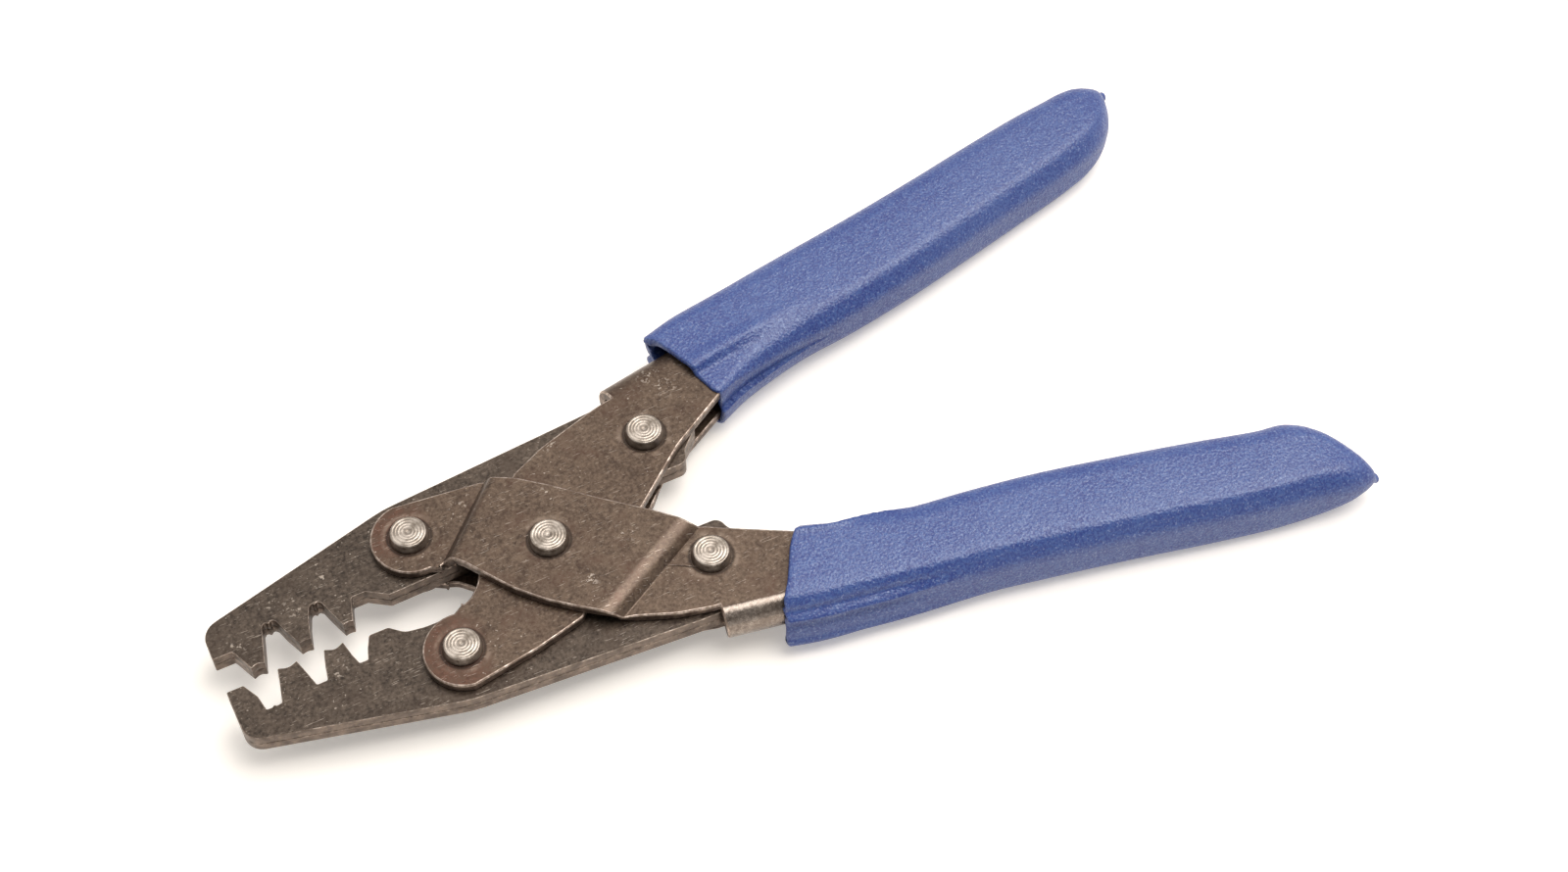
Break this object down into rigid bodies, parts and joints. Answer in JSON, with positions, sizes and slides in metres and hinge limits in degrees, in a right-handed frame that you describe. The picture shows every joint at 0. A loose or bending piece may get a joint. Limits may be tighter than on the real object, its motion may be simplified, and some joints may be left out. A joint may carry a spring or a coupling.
{
  "type": "crimping pliers",
  "caption": "Parallel-action crimping pliers with stepped open-barrel crimp dies, riveted sheet-steel handles and blue dipped vinyl grips.",
  "frame": {"origin": "centre of the flat underside of the centre rivet's lower head, the lowest point of the tool as it lies", "axes": "+X along the tool from the centre rivet to the grips, +Y across the tool to the upper handle, +Z along the rivets, up from the surface it lies on"},
  "size_m": [0.21, 0.1069, 0.0161],
  "materials": {
    "oxide_steel_lower": "brown-black oxide, fine speckle, bright worn edges",
    "oxide_steel_upper": "brown-black oxide, fine speckle, bright worn edges",
    "jaw_steel": "dark phosphated, grainy, bright worn edges",
    "bright_rivet_steel": "bright with concentric turning marks",
    "hardened_bush_steel": "ground",
    "blue_vinyl_lower": "satin, finely pebbled",
    "blue_vinyl_upper": "satin, finely pebbled"
  },
  "bodies": {
    "lower_handle": {"lower_handle_frame": "oxide_steel_lower", "lower_grip": "blue_vinyl_lower", "centre_rivet": "bright_rivet_steel", "centre_spacer": "hardened_bush_steel", "upper_jaw_pivot_rivet": "bright_rivet_steel", "upper_jaw_pivot_bush": "hardened_bush_steel", "lower_jaw_slot_rivet": "bright_rivet_steel", "lower_slot_bush": "hardened_bush_steel"},
    "upper_handle": {"upper_handle_frame": "oxide_steel_upper", "upper_grip": "blue_vinyl_upper", "lower_jaw_pivot_rivet": "bright_rivet_steel", "lower_jaw_pivot_bush": "hardened_bush_steel", "upper_jaw_slot_rivet": "bright_rivet_steel", "upper_slot_bush": "hardened_bush_steel"},
    "upper_jaw": {"upper_jaw_front_plate": "jaw_steel", "upper_jaw_back_plate": "jaw_steel"},
    "lower_jaw": {"lower_jaw_front_plate": "jaw_steel", "lower_jaw_back_plate": "jaw_steel"}
  },
  "joints": [
    {"name": "handle_pivot", "type": "hinge", "parent": "lower_handle", "child": "upper_handle", "pos_m": [0, 0, 0.00805], "axis": [0, 0, 1], "range_deg": [-17.5, 0]},
    {"name": "upper_jaw_pivot", "type": "hinge", "parent": "lower_handle", "child": "upper_jaw", "pos_m": [-0.02243, 0.01295, 0.00805], "axis": [0, 0, 1], "range_deg": [-8.75, 0]},
    {"name": "lower_jaw_pivot", "type": "hinge", "parent": "upper_handle", "child": "lower_jaw", "pos_m": [-0.02243, -0.01295, 0.00805], "axis": [0, 0, 1], "range_deg": [0, 8.75]}
  ],
  "couplings": [
    {"joint": "upper_jaw_pivot", "follows": "handle_pivot", "ratio": 0.5},
    {"joint": "lower_jaw_pivot", "follows": "handle_pivot", "ratio": -0.5}
  ]
}
